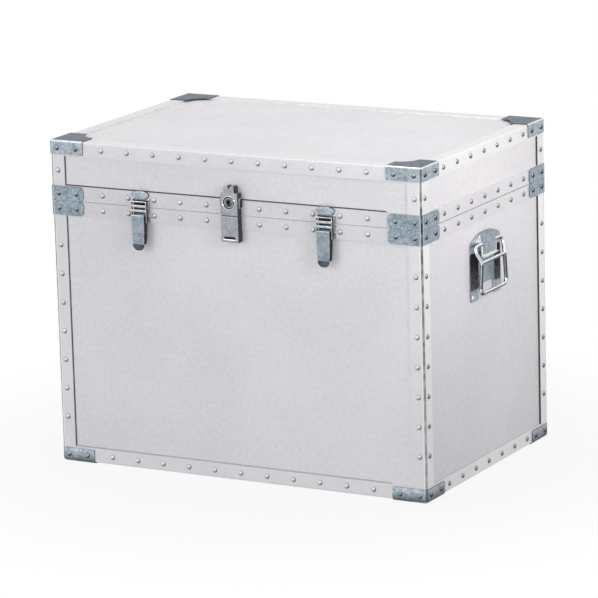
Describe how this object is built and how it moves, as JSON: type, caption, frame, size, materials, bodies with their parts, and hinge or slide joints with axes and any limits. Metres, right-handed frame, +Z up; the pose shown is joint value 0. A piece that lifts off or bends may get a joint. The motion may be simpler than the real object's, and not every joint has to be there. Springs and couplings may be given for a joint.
{
  "type": "storage trunk",
  "caption": "Lidded storage trunk: sheet-faced panels in riveted edging with capped corners, draw latches, a key lock, bail handles, back hinges and slotted lid stays.",
  "frame": {"origin": "centre of the plane that the bottom corner caps stand on", "axes": "+Z up, +X to the right seen from the front, -Y out of the front with the latches and the lock"},
  "size_m": [0.7836, 0.5224, 0.6],
  "materials": {
    "board": "plain plywood",
    "panel": "satin sheet",
    "edging": "satin angle strip",
    "cap": "zinc-plated pressing",
    "rivet": "plated dome",
    "hardware": "zinc-plated pressing",
    "rod": "bright plated rod and bar",
    "plug": "bright turned plug"
  },
  "bodies": {
    "case": {"bottom_board": "board", "front_board": "board", "back_board": "board", "left_board": "board", "right_board": "board", "bottom_skin": "panel", "front_skin": "panel", "back_skin": "panel", "left_skin": "panel", "right_skin": "panel", "corner_posts": "edging", "bottom_edges": "edging", "case_rims": "edging", "bottom_corner_caps": "cap", "case_rim_corners": "cap", "case_rivets": "rivet", "left_latch_base": "hardware", "right_latch_base": "hardware", "left_handle_plate": "hardware", "right_handle_plate": "hardware", "left_hinge_case_leaf": "hardware", "right_hinge_case_leaf": "hardware", "latch_pins": "rod", "lock_receiver": "hardware", "hinge_pins": "rod", "stay_studs": "rod"},
    "lid": {"lid_top_board": "board", "lid_front_board": "board", "lid_back_board": "board", "lid_left_board": "board", "lid_right_board": "board", "lid_top_skin": "panel", "lid_front_skin": "panel", "lid_back_skin": "panel", "lid_left_skin": "panel", "lid_right_skin": "panel", "lid_posts": "edging", "lid_edges": "edging", "lid_rims": "edging", "lid_corner_caps": "cap", "lid_rim_corners": "cap", "lid_rivets": "rivet", "left_latch_keeper": "hardware", "right_latch_keeper": "hardware", "left_hinge_lid_leaf": "hardware", "right_hinge_lid_leaf": "hardware", "lock_case": "hardware", "stay_lid_pivots": "rod"},
    "lock_plug": {"lock_plug": "plug"},
    "lock_bolt": {"lock_bolt": "rod"},
    "left_lever": {"left_latch_lever": "hardware"},
    "left_loop": {"left_latch_loop": "rod"},
    "left_bail": {"left_handle_bail": "rod"},
    "left_stay": {"left_stay_bar": "rod"},
    "right_lever": {"right_latch_lever": "hardware"},
    "right_loop": {"right_latch_loop": "rod"},
    "right_bail": {"right_handle_bail": "rod"},
    "right_stay": {"right_stay_bar": "rod"}
  },
  "joints": [
    {"name": "lid_hinge", "type": "hinge", "parent": "case", "child": "lid", "pos_m": [0, 0.2539, 0.489], "axis": [-1, 0, 0], "range_deg": [0, 100]},
    {"name": "plug_turn", "type": "hinge", "parent": "lid", "child": "lock_plug", "pos_m": [0, -0.2585, 0.5131], "axis": [0, -1, 0], "range_deg": [0, 90]},
    {"name": "bolt_slide", "type": "slide", "parent": "lid", "child": "lock_bolt", "axis": [1, 0, 0], "range_m": [0, 0.006]},
    {"name": "left_lever_turn", "type": "hinge", "parent": "case", "child": "left_lever", "pos_m": [-0.1876, -0.2575, 0.473], "axis": [-1, 0, 0], "range_deg": [0, 100]},
    {"name": "left_loop_turn", "type": "hinge", "parent": "left_lever", "child": "left_loop", "pos_m": [-0.1876, -0.257, 0.465], "axis": [-1, 0, 0], "range_deg": [-115, 0]},
    {"name": "left_bail_turn", "type": "hinge", "parent": "case", "child": "left_bail", "pos_m": [-0.3783, 0, 0.42], "axis": [0, 1, 0], "range_deg": [0, 95]},
    {"name": "left_stay_turn", "type": "hinge", "parent": "lid", "child": "left_stay", "pos_m": [-0.3592, 0.1139, 0.519], "axis": [-1, 0, 0], "range_deg": [-50, 0]},
    {"name": "right_lever_turn", "type": "hinge", "parent": "case", "child": "right_lever", "pos_m": [0.1876, -0.2575, 0.473], "axis": [-1, 0, 0], "range_deg": [0, 100]},
    {"name": "right_loop_turn", "type": "hinge", "parent": "right_lever", "child": "right_loop", "pos_m": [0.1876, -0.257, 0.465], "axis": [-1, 0, 0], "range_deg": [-115, 0]},
    {"name": "right_bail_turn", "type": "hinge", "parent": "case", "child": "right_bail", "pos_m": [0.3783, 0, 0.42], "axis": [0, -1, 0], "range_deg": [0, 95]},
    {"name": "right_stay_turn", "type": "hinge", "parent": "lid", "child": "right_stay", "pos_m": [0.3592, 0.1139, 0.519], "axis": [-1, 0, 0], "range_deg": [-50, 0]}
  ],
  "couplings": [
    {"joint": "bolt_slide", "follows": "plug_turn", "m_per_rad": 0.0038197},
    {"joint": "left_loop_turn", "follows": "left_lever_turn", "ratio": -1.15},
    {"joint": "left_stay_turn", "follows": "lid_hinge", "ratio": -0.5},
    {"joint": "right_loop_turn", "follows": "right_lever_turn", "ratio": -1.15},
    {"joint": "right_stay_turn", "follows": "lid_hinge", "ratio": -0.5}
  ]
}
